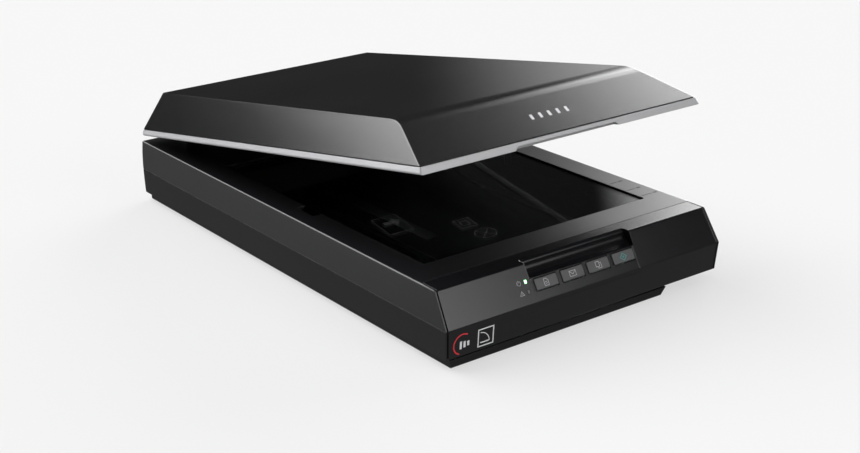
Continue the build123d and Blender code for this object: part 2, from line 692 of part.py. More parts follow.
def belt_clamp():
    """The jaw under the head that grips one run of the belt, with room for its thickness."""
    run_x = BELT_X + PULLEY_R + BELT_THICK / 2
    jaw = block(run_x - 3.5, run_x + 3.5, SLIT_REST_Y - 8, SLIT_REST_Y + 8, BELT_Z - 4, HEAD_LOW_Z)
    gap = BELT_THICK / 2 + PIECE_GAP
    slot_top = BELT_Z + BELT_WIDTH / 2 + 0.4
    return jaw - block(run_x - gap, run_x + gap, SLIT_REST_Y - 9, SLIT_REST_Y + 9, BELT_Z - 5, slot_top)


def lamp_light_guide():
    """The clear bar that spreads the lamp's light along the slit."""
    bar = block(-104, 104, SLIT_REST_Y + 4, SLIT_REST_Y + 9, HEAD_TOP_Z, HEAD_TOP_Z + 2.4)
    return chamfer(bar.edges().filter_by(Axis.X).group_by(Axis.Z)[-1], 1.0)


def lamp_board():
    """The small board with the lamp diodes at the end of the light guide."""
    return block(-108, -104, SLIT_REST_Y + 3, SLIT_REST_Y + 12, HEAD_TOP_Z, HEAD_TOP_Z + 2.4)


def fold_mirrors():
    """Three front-silvered strips that fold the light path."""
    strips = []
    for length, y, z, tilt in ((206, 0, 27.6, 40), (190, -14, 40, -62), (150, 14, 38, 58)):
        strip = Box(length, 9, 1.6)
        strips.append(Pos(0, SLIT_REST_Y + y, z) * Rot(tilt, 0, 0) * strip)
    return Compound(children=strips)


def head_lens():
    """The small lens barrel in the middle of the head."""
    barrel = along_y(0, 36, SLIT_REST_Y - 5, SLIT_REST_Y + 5, 4.6)
    return chamfer(barrel.edges(), 0.6)


def sensor_board():
    """The head's sensor board with its long image sensor."""
    y0 = SLIT_REST_Y + HEAD_HALF_Y + 0.2
    board = block(-40, 40, y0, y0 + 1.4, 27, 46)
    return board + block(-28, 28, y0 + 1.2, y0 + 3.6, 32, 40)


def head_cover():
    """The thin plate that closes the head from below."""
    return block(-20, HEAD_HALF_X - 18, SLIT_REST_Y - 17, SLIT_REST_Y + 17, HEAD_LOW_Z - 1.2, HEAD_LOW_Z)


def case_screws():
    """Six screws that hold the two case halves together from below."""
    screws = []
    for x, y in SCREW_XY:
        head_z = floor_at(x, y) + 1.2
        screw = upright(x, y, head_z, 44, 1.4) + upright(x, y, head_z - 0.9, head_z, 2.7)
        screws.append(screw)
    return Compound(children=screws)


# ------------------------------------------------------------------ lid

def carry_lid(shape):
    """Moves a closed lid piece to the rest pose: opened about the hinge and lifted with its posts."""
    turn = Pos(0, HINGE_Y, HINGE_Z + LID_LIFT) * Rot(-LID_ANGLE, 0, 0) * Pos(0, -HINGE_Y, -HINGE_Z)
    return turn * shape


def rectangle_wire(half, y0, y1, z0, z1):
    """A rectangle whose front and back edges may be at different heights."""
    corners = [(-half, y0, z0), (half, y0, z0), (half, y1, z1), (-half, y1, z1)]
    return Wire(Polyline(*corners, close=True).edges())


def lid_form(inset):
    """The lid above its band: four sloped sides up to a gently falling top."""
    low = BAND_TOP_Z - (1 if inset else 0)
    slope_x = (LID_HALF - LID_INSET - LID_TOP_HALF) / (LID_CREASE_Z - BAND_TOP_Z)
    spread = (BAND_TOP_Z - low) * slope_x
    bottom = rectangle_wire(LID_HALF - LID_INSET - inset * 1.25 + spread,
                            LID_FRONT_Y + LID_INSET + inset * 1.9 - spread,
                            LID_BACK_Y - LID_INSET - inset * 1.1 + spread, low, low)
    top = rectangle_wire(LID_TOP_HALF - inset * 0.55, LID_CREASE_Y + inset * 0.3,
                         LID_TOP_BACK_Y - inset * 0.8, LID_CREASE_Z - inset, LID_TOP_BACK_Z - inset)
    return Solid.make_loft([bottom, top], ruled=True)


def hinge_notch(x):
    """The slot through the lid's rear edge that clears a hinge post."""
    half = POST_WIDTH / 2 + EAR_THICK + 0.8
    notch_top = HINGE_Z + BARREL_R + 0.7
    return block(x - half, x + half, POST_FRONT_Y - 0.6, LID_BACK_Y + 3, LID_LOW_Z - 2, notch_top)


def lid_top_shell():
    """The large outer moulding of the lid, soft along its front bend."""
    form = lid_form(0)
    bend = form.edges().filter_by(Axis.X).sort_by(lambda e: abs(e.center().Y - LID_CREASE_Y))[0]
    form = fillet(bend, LID_BEND_R)
    crisp = form.edges().filter_by(lambda e: e.center().Z > BAND_TOP_Z + 2)
    crisp = crisp.filter_by(lambda e: not (e.geom_type == GeomType.LINE and e.center().Y < -120 and
                                           abs(e.center().X) < 1))
    form = fillet(crisp, 1.1)
    shell = form - lid_form(LID_WALL)
    line = block(-150, 150, -250, 250, BAND_TOP_Z, BAND_TOP_Z + LID_GAP)
    half = LID_HALF - 3.4
    shell -= line - block(-half, half, LID_FRONT_Y + 3.6, LID_BACK_Y - 3.4, LID_LOW_Z, BAND_TOP_Z + 2)
    for x in HINGE_XS:
        shell -= hinge_notch(x)
    for x, y in LID_SCREWS:
        shell += upright(x, y, LID_LOW_Z + 3.0, LID_TOP_BACK_Z, 4) & form
        shell -= upright(x, y, LID_LOW_Z, 78, 1.4)
    return shell


def lid_rim(inset, z0, z1):
    """The lid's plan outline as a block with a drafted side."""
    low = rectangle_wire(LID_HALF - inset, LID_FRONT_Y + inset, LID_BACK_Y - inset, z0, z0)
    draft = LID_INSET * (z1 - z0) / (BAND_TOP_Z - LID_LOW_Z)
    set_in = inset + draft
    high = rectangle_wire(LID_HALF - set_in, LID_FRONT_Y + set_in, LID_BACK_Y - set_in, z1, z1)
    return Solid.make_loft([low, high], ruled=True)


def lid_trim_frame():
    """The bright band round the lid's lower edge, with a shallow finger notch in front."""
    ring = lid_rim(0, LID_LOW_Z, BAND_TOP_Z)
    rear = ring.edges().filter_by(Axis.X).sort_by(lambda e: math.hypot(e.center().Y - LID_BACK_Y,
                                                                       e.center().Z - LID_LOW_Z))[0]
    ring = fillet(rear, 2.4)
    ring = fillet(ring.edges().filter_by(lambda e: abs(e.center().X) > 130 and abs(e.center().Y) > 200 and
                                         LID_LOW_Z + 1 < e.center().Z < BAND_TOP_Z - 1), 1.5)
    ring -= block(-LID_HALF + LID_RIM, LID_HALF - LID_RIM, LID_FRONT_Y + LID_RIM, LID_BACK_Y - LID_RIM_BACK,
                  LID_LOW_Z - 1, BAND_TOP_Z + 1)
    notch = block(PANEL_X - 51.5, PANEL_X + 51.5, LID_FRONT_Y - 1, LID_FRONT_Y + 6, LID_LOW_Z - 1,
                  LID_LOW_Z + LID_NOTCH_TALL)
    notch = chamfer(notch.edges().filter_by(Axis.Y).group_by(Axis.Z)[-1], LID_NOTCH_TALL)
    ring -= notch
    for x in HINGE_XS:
        ring -= hinge_notch(x)
    return ring


def lid_inner_panel():
    """The flat black liner: film window, raised guides and slots for a document mat."""
    half = LID_HALF - LID_RIM
    y0 = LID_FRONT_Y + LID_RIM
    y1 = LID_BACK_Y - LID_RIM_BACK
    panel = block(-half, half, y0, y1, LID_LOW_Z + 0.6, LID_LOW_Z + 3.0)
    panel = panel - block(-FILM_WINDOW[0] / 2, FILM_WINDOW[0] / 2, -FILM_WINDOW[1] / 2, FILM_WINDOW[1] / 2,
                          LID_LOW_Z - 1, LID_LOW_Z + 4)
    frame = block(-108, 108, -165, 150, LID_LOW_Z + 0.2, LID_LOW_Z + 0.8)
    frame = fillet(frame.edges().filter_by(Axis.Z), 8)
    hollow = block(-106.8, 106.8, -163.8, 148.8, LID_LOW_Z - 1, LID_LOW_Z + 0.6)
    panel += frame - fillet(hollow.edges().filter_by(Axis.Z), 6.8)
    for x in (-70, 70):
        for y in (-176, 162):
            panel -= block(x - 8, x + 8, y - 2, y + 2, LID_LOW_Z - 1, LID_LOW_Z + 4)
    for x, y in LID_SCREWS:
        panel -= upright(x, y, LID_LOW_Z - 1, LID_LOW_Z + 4, 1.6)
        panel -= upright(x, y, LID_LOW_Z - 1, LID_LOW_Z + 1.8, 3.1)
    for x in HINGE_XS:
        panel -= hinge_notch(x)
    return panel


def backlight_window():
    """The smoked clear window that film is lit through."""
    x = FILM_WINDOW[0] / 2
    y = FILM_WINDOW[1] / 2
    return block(-x, x, -y, y, LID_LOW_Z + 1.0, LID_LOW_Z + 3.0)


def backlight_diffuser():
    """The milky sheet over the window."""
    return block(-40, 40, -125, 125, LID_LOW_Z + 3.0, LID_LOW_Z + 4.0)


def light_guide_plate():
    """The clear plate that spreads the backlight."""
    return block(-40, 40, -125, 125, LID_LOW_Z + 4.0, LID_LOW_Z + 7.0)


def backlight_board():
    """The diode strip along the light guide's rear edge."""
    return block(-40, 40, 125.2, 128.2, LID_LOW_Z + 3.2, LID_LOW_Z + 9.0)


def lid_bumpers():
    """Small rubber stops let into the lid's underside."""
    pads = []
    for x in (-134.6, 134.6):
        for y in (-200.0, 215.0):
            pads.append(upright(x, y, LID_LOW_Z - 0.2, LID_LOW_Z, 2.6))
    return Compound(children=pads)


def lid_screws():
    """Screws that hold the liner and the shell together."""
    screws = []
    for x, y in LID_SCREWS:
        screw = upright(x, y, LID_LOW_Z + 0.8, 76, 1.3) + upright(x, y, LID_LOW_Z + 0.8, LID_LOW_Z + 1.8, 2.8)
        screws.append(screw)
    return Compound(children=screws)


# ------------------------------------------------------------------ hinges

def hinge_post(x):
    """The post that drops into the base, with the hinge barrel on top; drawn lowered, lifted to rest."""
    half = POST_WIDTH / 2
    post = block(x - half, x + half, POST_FRONT_Y, POST_BACK_Y, POST_LOW_Z, HINGE_Z)
    post = chamfer(post.edges().group_by(Axis.Z)[0], 1.0)
    post += along_x(HINGE_Y, HINGE_Z, x - half, x + half, BARREL_R)
    post -= along_x(HINGE_Y, HINGE_Z, x - half - 1, x + half + 1, HINGE_PIN_R + RUNNING_FIT)
    return Pos(0, 0, LID_LIFT) * post


def hinge_pin(x):
    """The steel pin, fixed in the lid's bracket."""
    half = POST_WIDTH / 2 + EAR_THICK + 0.3
    return along_x(HINGE_Y, HINGE_Z, x - half, x + half, HINGE_PIN_R)


def hinge_bracket(x):
    """The lid's bracket: two ears beside the barrel under a plate."""
    inner = POST_WIDTH / 2 + PIECE_GAP
    outer = inner + EAR_THICK
    top = HINGE_Z + BARREL_R + 0.7
    bracket = block(x - outer, x + outer, HINGE_Y - 20, HINGE_Y - 5.6, top, top + 2.4)
    for side in (-1, 1):
        x0, x1 = sorted((x + side * inner, x + side * outer))
        bracket += along_x(HINGE_Y, HINGE_Z, x0, x1, BARREL_R)
        bracket += block(x0, x1, HINGE_Y - 9, HINGE_Y - 1.0, HINGE_Z, top - 0.1)
        bracket += block(x0, x1, HINGE_Y - 9, HINGE_Y - 5.6, HINGE_Z, top + 1)
    return bracket - along_x(HINGE_Y, HINGE_Z, x - outer - 1, x + outer + 1, HINGE_PIN_R)


# ------------------------------------------------------------------ write the parts

PARTS = {
    "lower_case": lower_case(),
    "upper_case": upper_case(),
    "front_fascia": front_fascia(),
    "button_insert": button_insert(),
    "document_glass": document_glass(),
    "glass_seal": glass_seal(),
    "calibration_strip": calibration_strip(),
    "rubber_feet": rubber_feet(),
    "case_screws": case_screws(),
    "ready_light": light_pipe(LIGHT_ZS[0]),
    "error_light": light_pipe(LIGHT_ZS[1]),
    "switch_board": switch_board(),
    "usb_socket": usb_socket(),
    "power_jack": round_socket(POWER_X, 5.0, POWER_BORE_R),
    "lid_cable_socket": round_socket(LID_SOCKET_X, 6.0, LID_SOCKET_R),
    "main_board": main_board(),
    "flat_cable": flat_cable(),
    "transport_lock": transport_lock(),
    "guide_rod": guide_rod(),
    "rod_clips": rod_clips(),
    "support_rail": support_rail(),
    "motor_bracket": motor_bracket(),
    "stepper_motor": stepper_motor(),
    "motor_pinion": motor_pinion(),
    "reduction_gear": reduction_gear(),
    "drive_pulley": drive_pulley(),
    "drive_belt": drive_belt(),
    "idler_pulley": idler_pulley(),
    "idler_bracket": idler_bracket(),
    "tension_spring": tension_spring(),
    "head_housing": head_housing(),
    "head_cover": head_cover(),
    "rod_bushes": rod_bushes(),
    "slide_pad": slide_pad(),
    "belt_clamp": belt_clamp(),
    "lamp_light_guide": lamp_light_guide(),
    "lamp_board": lamp_board(),
    "fold_mirrors": fold_mirrors(),
    "head_lens": head_lens(),
    "sensor_board": sensor_board(),
    "lid_top_shell": carry_lid(lid_top_shell()),
    "lid_trim_frame": carry_lid(lid_trim_frame()),
    "lid_inner_panel": carry_lid(lid_inner_panel()),
    "backlight_window": carry_lid(backlight_window()),
    "backlight_diffuser": carry_lid(backlight_diffuser()),
    "light_guide_plate": carry_lid(light_guide_plate()),
    "backlight_board": carry_lid(backlight_board()),
    "lid_bumpers": carry_lid(lid_bumpers()),
    "lid_screws": carry_lid(lid_screws()),
}
for name, x in zip(("pdf_button", "email_button", "copy_button", "start_button"), button_xs()):
    PARTS[name] = button(x)
for name, x in zip(("left", "right"), HINGE_XS):
    PARTS[name + "_hinge_post"] = hinge_post(x)
    PARTS[name + "_hinge_pin"] = carry_lid(hinge_pin(x))
    PARTS[name + "_hinge_bracket"] = carry_lid(hinge_bracket(x))

os.makedirs("parts", exist_ok=True)
for name, shape in PARTS.items():
    export_step(shape, "parts/" + name + ".step")
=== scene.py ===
import bpy
import bmesh
import math
from mathutils import Matrix, Vector
from mathutils.bvhtree import BVHTree


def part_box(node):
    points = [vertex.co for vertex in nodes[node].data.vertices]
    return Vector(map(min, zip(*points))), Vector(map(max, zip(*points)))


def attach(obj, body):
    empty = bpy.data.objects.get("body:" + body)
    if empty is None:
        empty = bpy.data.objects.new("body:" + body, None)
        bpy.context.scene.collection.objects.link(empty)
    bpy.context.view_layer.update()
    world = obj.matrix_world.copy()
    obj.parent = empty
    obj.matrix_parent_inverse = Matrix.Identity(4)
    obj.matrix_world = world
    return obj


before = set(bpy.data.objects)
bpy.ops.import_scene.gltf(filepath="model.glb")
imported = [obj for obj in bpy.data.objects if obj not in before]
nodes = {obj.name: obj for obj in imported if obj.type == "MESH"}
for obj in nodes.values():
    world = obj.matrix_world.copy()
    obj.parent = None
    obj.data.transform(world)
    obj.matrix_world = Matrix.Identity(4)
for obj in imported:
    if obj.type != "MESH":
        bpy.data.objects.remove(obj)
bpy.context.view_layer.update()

# ---------------------------------------------------------------- tray
# The tray is one deep injection moulding in charcoal ABS: floor, side walls, front plinth and
# right-hand legs in one. The mould is spark-eroded to a fine grain and the edges stay a little soft.

GRAIN = 0.0003


def link(tree, source, target):
    """Joins two shader sockets."""
    tree.links.new(source, target)


def noise(tree, scale, detail, stretch=(1, 1, 1)):
    """Cloud pattern in the piece's own metres, stretched along any axis."""
    place = tree.nodes.new("ShaderNodeTexCoord")
    spread = tree.nodes.new("ShaderNodeMapping")
    spread.inputs["Scale"].default_value = stretch
    link(tree, place.outputs["Object"], spread.inputs["Vector"])
    cloud = tree.nodes.new("ShaderNodeTexNoise")
    cloud.inputs["Scale"].default_value = scale
    cloud.inputs["Detail"].default_value = detail
    link(tree, spread.outputs["Vector"], cloud.inputs["Vector"])
    return cloud.outputs["Fac"]


def spread_over(tree, value, low, high):
    """Runs a 0 to 1 pattern between two numbers."""
    span = tree.nodes.new("ShaderNodeMapRange")
    span.inputs["To Min"].default_value = low
    span.inputs["To Max"].default_value = high
    link(tree, value, span.inputs["Value"])
    return span.outputs["Result"]


def blend_colours(tree, value, dark, light, start=0.3, end=0.7):
    """Runs a 0 to 1 pattern between two pigments."""
    ramp = tree.nodes.new("ShaderNodeValToRGB")
    ramp.color_ramp.elements[0].position = start
    ramp.color_ramp.elements[1].position = end
    ramp.color_ramp.elements[0].color = (*dark, 1)
    ramp.color_ramp.elements[1].color = (*light, 1)
    link(tree, value, ramp.inputs["Fac"])
    return ramp.outputs["Color"]


def rounded_edges(tree, radius):
    """Softens the corners where faces meet and tells how sharp each place is."""
    soft = tree.nodes.new("ShaderNodeBevel")
    soft.samples = 4
    soft.inputs["Radius"].default_value = radius
    plain = tree.nodes.new("ShaderNodeNewGeometry")
    bend = tree.nodes.new("ShaderNodeVectorMath")
    bend.operation = "DOT_PRODUCT"
    link(tree, soft.outputs["Normal"], bend.inputs[0])
    link(tree, plain.outputs["Normal"], bend.inputs[1])
    sharp = tree.nodes.new("ShaderNodeMapRange")
    sharp.inputs["From Min"].default_value = 0.97
    sharp.inputs["From Max"].default_value = 0.80
    link(tree, bend.outputs["Value"], sharp.inputs["Value"])
    return soft.outputs["Normal"], sharp.outputs["Result"]


def raised(tree, height, depth, distance, under=None):
    """Turns a pattern into small relief."""
    bump = tree.nodes.new("ShaderNodeBump")
    bump.inputs["Strength"].default_value = depth
    bump.inputs["Distance"].default_value = distance
    link(tree, height, bump.inputs["Height"])
    if under:
        link(tree, under, bump.inputs["Normal"])
    return bump.outputs["Normal"]


def moulded(name, colour, roughness, grain=GRAIN, depth=0.06, edge=0.0005, clouds=0.12, edge_highlight=0.3, shine=0.5):
    """Grained moulding: cloudy pigment, fine grain, softened edges with a painted highlight along them."""
    material = bpy.data.materials.new(name)
    material.use_nodes = True
    tree = material.node_tree
    surface = tree.nodes["Principled BSDF"]
    surface.inputs["Specular IOR Level"].default_value = shine
    pigment = blend_colours(
        tree,
        noise(tree, 9.0, 3.0),
        [c * (1 - clouds) for c in colour],
        [min(1.0, c * (1 + clouds)) for c in colour],
    )
    soft, sharp = rounded_edges(tree, edge)
    # Painted highlight: sharp edges take a lighter copy of the pigment, in the share given by the edge
    # highlight setting.
    edge_highlight_mix = tree.nodes.new("ShaderNodeMix")
    edge_highlight_mix.data_type = "RGBA"
    edge_highlight_mix.inputs["B"].default_value = (*[min(1.0, c * 2.0 + 0.01) for c in colour], 1)
    link(tree, spread_over(tree, sharp, 0.0, edge_highlight), edge_highlight_mix.inputs["Factor"])
    link(tree, pigment, edge_highlight_mix.inputs["A"])
    link(tree, edge_highlight_mix.outputs["Result"], surface.inputs["Base Color"])
    speck = noise(tree, 1 / grain, 2.0)
    link(tree, spread_over(tree, speck, roughness - 0.06, roughness + 0.06), surface.inputs["Roughness"])
    link(tree, raised(tree, speck, depth, grain, soft), surface.inputs["Normal"])
    return material


def finish(material, *names):
    """Gives the named pieces one finish."""
    for name in names:
        piece = nodes[name]
        piece.data.materials.clear()
        piece.data.materials.append(material)


case_black = moulded("case_black", (0.006, 0.006, 0.007), 0.25, edge_highlight=0.08, shine=0.4)
finish(case_black, "lower_case")

# ---------------------------------------------------------------- feet and case screws
# Five stamped rubber pads are glued into shallow wells in the tray floor. Six self-tapping
# screws, zinc plated and passivated black, draw the upper case down on to the tray.


def metal(name, colour, roughness, lines=(1, 1, 1), scale=900.0, depth=0.05, tarnish=0.12):
    """Worked metal: tool lines along one axis, faint tarnish and a painted highlight on the corners."""
    material = bpy.data.materials.new(name)
    material.use_nodes = True
    tree = material.node_tree
    surface = tree.nodes["Principled BSDF"]
    surface.inputs["Metallic"].default_value = 1.0
    streaks = noise(tree, scale, 2.0, lines)
    stain = noise(tree, 60.0, 4.0)
    base = blend_colours(tree, stain, [c * (1 - tarnish) for c in colour], colour)
    soft, sharp = rounded_edges(tree, 0.0003)
    # Painted highlight: corners take a lighter copy of the metal colour.
    corner_highlight_mix = tree.nodes.new("ShaderNodeMix")
    corner_highlight_mix.data_type = "RGBA"
    corner_highlight_mix.inputs["B"].default_value = (*[min(1.0, c * 1.3) for c in colour], 1)
    link(tree, spread_over(tree, sharp, 0.0, 0.6), corner_highlight_mix.inputs["Factor"])
    link(tree, base, corner_highlight_mix.inputs["A"])
    link(tree, corner_highlight_mix.outputs["Result"], surface.inputs["Base Color"])
    link(tree, spread_over(tree, streaks, roughness - 0.07, roughness + 0.10), surface.inputs["Roughness"])
    link(tree, raised(tree, streaks, depth, 0.0002, soft), surface.inputs["Normal"])
    return material


foot_rubber = moulded("foot_rubber", (0.018, 0.018, 0.018), 0.78, grain=0.0006, depth=0.2, shine=0.3)
finish(foot_rubber, "rubber_feet")
finish(metal("black_screw", (0.12, 0.12, 0.13), 0.38), "case_screws", "lid_screws")

# ---------------------------------------------------------------- main board and sockets
# The main board is green glass-epoxy laminate with etched tracks under its solder mask. The
# data and power sockets are soldered to its rear edge and look out through the back wall.


def circuit_board(name, mask, track):
    """Solder mask over etched tracks, with tinned pads."""
    material = bpy.data.materials.new(name)
    material.use_nodes = True
    tree = material.node_tree
    surface = tree.nodes["Principled BSDF"]
    surface.inputs["Roughness"].default_value = 0.3
    place = tree.nodes.new("ShaderNodeTexCoord")
    tracks = tree.nodes.new("ShaderNodeTexBrick")
    tracks.inputs["Scale"].default_value = 110.0
    tracks.inputs["Mortar Size"].default_value = 0.035
    tracks.inputs["Color1"].default_value = (*mask, 1)
    tracks.inputs["Color2"].default_value = (*[c * 0.8 for c in mask], 1)
    tracks.inputs["Mortar"].default_value = (*track, 1)
    link(tree, place.outputs["Object"], tracks.inputs["Vector"])
    pads = tree.nodes.new("ShaderNodeTexVoronoi")
    pads.inputs["Scale"].default_value = 260.0
    link(tree, place.outputs["Object"], pads.inputs["Vector"])
    tinned = tree.nodes.new("ShaderNodeMapRange")
    tinned.inputs["From Min"].default_value = 0.22
    tinned.inputs["From Max"].default_value = 0.18
    link(tree, pads.outputs["Distance"], tinned.inputs["Value"])
    colour = tree.nodes.new("ShaderNodeMix")
    colour.data_type = "RGBA"
    colour.inputs["B"].default_value = (0.55, 0.55, 0.5, 1)
    link(tree, tinned.outputs["Result"], colour.inputs["Factor"])
    link(tree, tracks.outputs["Color"], colour.inputs["A"])
    link(tree, colour.outputs["Result"], surface.inputs["Base Color"])
    link(tree, tinned.outputs["Result"], surface.inputs["Metallic"])
    link(tree, raised(tree, tracks.outputs["Fac"], 0.3, 0.0001), surface.inputs["Normal"])
    return material


board_green = circuit_board("board_green", (0.012, 0.085, 0.03), (0.03, 0.19, 0.06))
finish(board_green, "main_board", "switch_board", "sensor_board", "lamp_board", "backlight_board")
socket_black = moulded("socket_black", (0.014, 0.014, 0.015), 0.4, edge_highlight=0.15)
finish(socket_black, "usb_socket", "power_jack", "lid_cable_socket")

# ---------------------------------------------------------------- drive
# A stepper motor on a pressed steel bracket turns a brass pinion, a moulded acetal gear and a
# toothed belt pulley. The belt comes back round a sprung idler at the front of the tray.

steel_sheet = metal("steel_sheet", (0.55, 0.56, 0.57), 0.34, (1, 0.05, 1))
finish(steel_sheet, "motor_bracket", "idler_bracket")
finish(metal("black_strip", (0.06, 0.06, 0.062), 0.4, (1, 0.05, 1)), "support_rail")
finish(metal("motor_can", (0.42, 0.43, 0.44), 0.3, (1, 1, 0.05), tarnish=0.2), "stepper_motor")
finish(metal("spring_wire", (0.6, 0.6, 0.58), 0.28), "tension_spring")
finish(metal("brass", (0.78, 0.57, 0.25), 0.28, (1, 1, 0.1)), "motor_pinion")
acetal_white = moulded(
    "acetal_white", (0.72, 0.72, 0.69), 0.4, grain=0.0004, depth=0.04, clouds=0.04, edge_highlight=0.1
)
milky = acetal_white.node_tree.nodes["Principled BSDF"]
milky.inputs["Subsurface Weight"].default_value = 0.15
milky.inputs["Subsurface Scale"].default_value = 0.002
finish(acetal_white, "reduction_gear", "drive_pulley", "idler_pulley", "slide_pad", "rod_clips")


def ribbed(name, dark, light, roughness, direction, pitch):
    """Sheet or belt with even ribs or conductors across it."""
    material = bpy.data.materials.new(name)
    material.use_nodes = True
    tree = material.node_tree
    surface = tree.nodes["Principled BSDF"]
    surface.inputs["Roughness"].default_value = roughness
    place = tree.nodes.new("ShaderNodeTexCoord")
    ribs = tree.nodes.new("ShaderNodeTexWave")
    ribs.bands_direction = direction
    ribs.wave_profile = "SIN"
    ribs.inputs["Scale"].default_value = 2 * math.pi / (20 * pitch)
    link(tree, place.outputs["Object"], ribs.inputs["Vector"])
    link(tree, blend_colours(tree, ribs.outputs["Fac"], dark, light), surface.inputs["Base Color"])
    link(tree, raised(tree, ribs.outputs["Fac"], 0.5, 0.0003), surface.inputs["Normal"])
    return material


finish(ribbed("belt_rubber", (0.012, 0.012, 0.012), (0.03, 0.03, 0.03), 0.6, "Y", 0.002), "drive_belt")

# ---------------------------------------------------------------- guide rod
# The scan head slides on one ground steel rod, held by two moulded clips, and rests on a
# folded steel rail at the other side.

finish(metal("ground_steel", (0.68, 0.69, 0.70), 0.16, (1, 0.03, 1), tarnish=0.05), "guide_rod")

# ---------------------------------------------------------------- scan head
# The head is a black moulded box across the bed. It holds a lamp guide, three mirrors, a lens
# and the sensor board, and it runs on two bronze bushes; a flat cable joins it to the main board.

head_black = moulded("head_black", (0.016, 0.016, 0.017), 0.5, grain=0.0005, depth=0.1)
finish(head_black, "head_housing", "belt_clamp", "head_cover")
finish(metal("sintered_bronze", (0.5, 0.34, 0.17), 0.45, scale=2500.0, depth=0.15), "rod_bushes")


def clear(name, tint, roughness, level, through=1.0, ior=1.5):
    """Clear or tinted optical part with faint polish marks."""
    material = bpy.data.materials.new(name)
    material.use_nodes = True
    tree = material.node_tree
    surface = tree.nodes["Principled BSDF"]
    surface.inputs["Transmission Weight"].default_value = through
    surface.inputs["IOR"].default_value = ior
    surface.inputs["Specular IOR Level"].default_value = level
    haze = noise(tree, 40.0, 5.0)
    link(tree, blend_colours(tree, haze, [c * 0.97 for c in tint], tint), surface.inputs["Base Color"])
    link(tree, spread_over(tree, haze, roughness, roughness + 0.03), surface.inputs["Roughness"])
    return material


finish(clear("lamp_acrylic", (0.92, 0.95, 0.95), 0.08, 0.5), "lamp_light_guide")
finish(clear("lens_glass", (0.75, 0.8, 0.9), 0.01, 0.5), "head_lens")
finish(metal("mirror_film", (0.88, 0.89, 0.9), 0.1, scale=200.0, depth=0.01, tarnish=0.03), "fold_mirrors")
finish(ribbed("cable_black", (0.012, 0.012, 0.012), (0.03, 0.03, 0.032), 0.35, "X", 0.001), "flat_cable")

# ---------------------------------------------------------------- document glass
# The upper case is moulded in the same charcoal plastic as the tray. The float glass is stuck
# to the underside of its frame with foam tape, and a white strip under the rear end sets the white.

finish(moulded("frame_black", (0.005, 0.005, 0.006), 0.30, edge_highlight=0.08, shine=0.5), "upper_case")
finish(moulded("seal_foam", (0.015, 0.015, 0.015), 0.9, grain=0.0008, depth=0.3, shine=0.1), "glass_seal")
strip_white = moulded("strip_white", (0.85, 0.85, 0.84), 0.6, grain=0.0002, depth=0.02, clouds=0.02, edge_highlight=0.0)
finish(strip_white, "calibration_strip")
finish(clear("float_glass", (0.86, 0.9, 0.88), 0.0, 0.04), "document_glass")

# ---------------------------------------------------------------- bed marks
# Sheet sizes are pad-printed in matt black ink on the right-hand frame, each with a short rule
# at the edge of the glass. The ink film is a few hundredths of a millimetre thick. The rules stand
# 258, 280 and 297 mm from the home edge, the lengths of B5, letter and A4 sheets in that order.

MM = 0.001
INK_SINK = 0.02 * MM
INK_PROUD = 0.03 * MM
SEEK = 6 * MM
RIGHT = (1, 0, 0)
BACK = (0, 1, 0)
UP = (0, 0, 1)
MARK_X = 0.1165
MARK_WIDE = 0.7


def surface_of(node):
    """The node's faces, for finding where a mark lies on it."""
    mesh = nodes[node].data
    places = [v.co.copy() for v in mesh.vertices]
    return BVHTree.FromPolygons(places, [list(p.vertices) for p in mesh.polygons])


def ribbon(points, width, closed=False):
    """Outline quads of an even line through flat points, in millimetres."""
    count = len(points)
    sides = []
    for i, (u, v) in enumerate(points):
        before = points[i - 1] if i > 0 or closed else None
        after = points[(i + 1) % count] if i < count - 1 or closed else None
        legs = []
        if before:
            legs.append(Vector((u - before[0], v - before[1])).normalized())
        if after:
            legs.append(Vector((after[0] - u, after[1] - v)).normalized())
        run = sum(legs, Vector((0, 0))).normalized()
        out = Vector((-run.y, run.x))
        reach = width / 2 / max(0.35, out.dot(Vector((-legs[0].y, legs[0].x))))
        sides.append(((u + out.x * reach, v + out.y * reach), (u - out.x * reach, v - out.y * reach)))
    pairs = zip(sides, sides[1:] + sides[:1]) if closed else zip(sides, sides[1:])
    return [[a[0], b[0], b[1], a[1]] for a, b in pairs]


def arc(u, v, radius, start, end, steps=24, squash=1.0):
    """Points along part of a circle."""
    turns = [math.radians(start + (end - start) * i / steps) for i in range(steps + 1)]
    return [(u + radius * math.cos(t), v + radius * squash * math.sin(t)) for t in turns]


def oblong(u, v, wide, tall):
    """Corners of an upright rectangle about a centre."""
    return [
        (u - wide / 2, v - tall / 2),
        (u + wide / 2, v - tall / 2),
        (u + wide / 2, v + tall / 2),
        (u - wide / 2, v + tall / 2),
    ]


def printed(name, node, body, ink, centre, across, upward, shapes):
    """Lays flat shapes on a node's surface as a thin closed film of ink."""
    skin = surface_of(node)
    across = Vector(across).normalized()
    upward = Vector(upward).normalized()
    facing = across.cross(upward)
    work = bmesh.new()
    for shape in shapes:
        corners = []
        for u, v in shape:
            over = Vector(centre) + across * (u * MM) + upward * (v * MM) + facing * SEEK
            hit = skin.ray_cast(over, -facing)[0]
            corners.append(hit if hit else over - facing * SEEK)
        low = [work.verts.new(c - facing * INK_SINK) for c in corners]
        high = [work.verts.new(c + facing * INK_PROUD) for c in corners]
        work.faces.new(high)
        work.faces.new(low[::-1])
        for i in range(len(corners)):
            j = (i + 1) % len(corners)
            work.faces.new([low[i], low[j], high[j], high[i]])
    bmesh.ops.recalc_face_normals(work, faces=work.faces)
    mesh = bpy.data.meshes.new(name)
    work.to_mesh(mesh)
    work.free()
    piece = bpy.data.objects.new(name, mesh)
    bpy.context.scene.collection.objects.link(piece)
    mesh.materials.append(ink)
    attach(piece, body)
    return piece


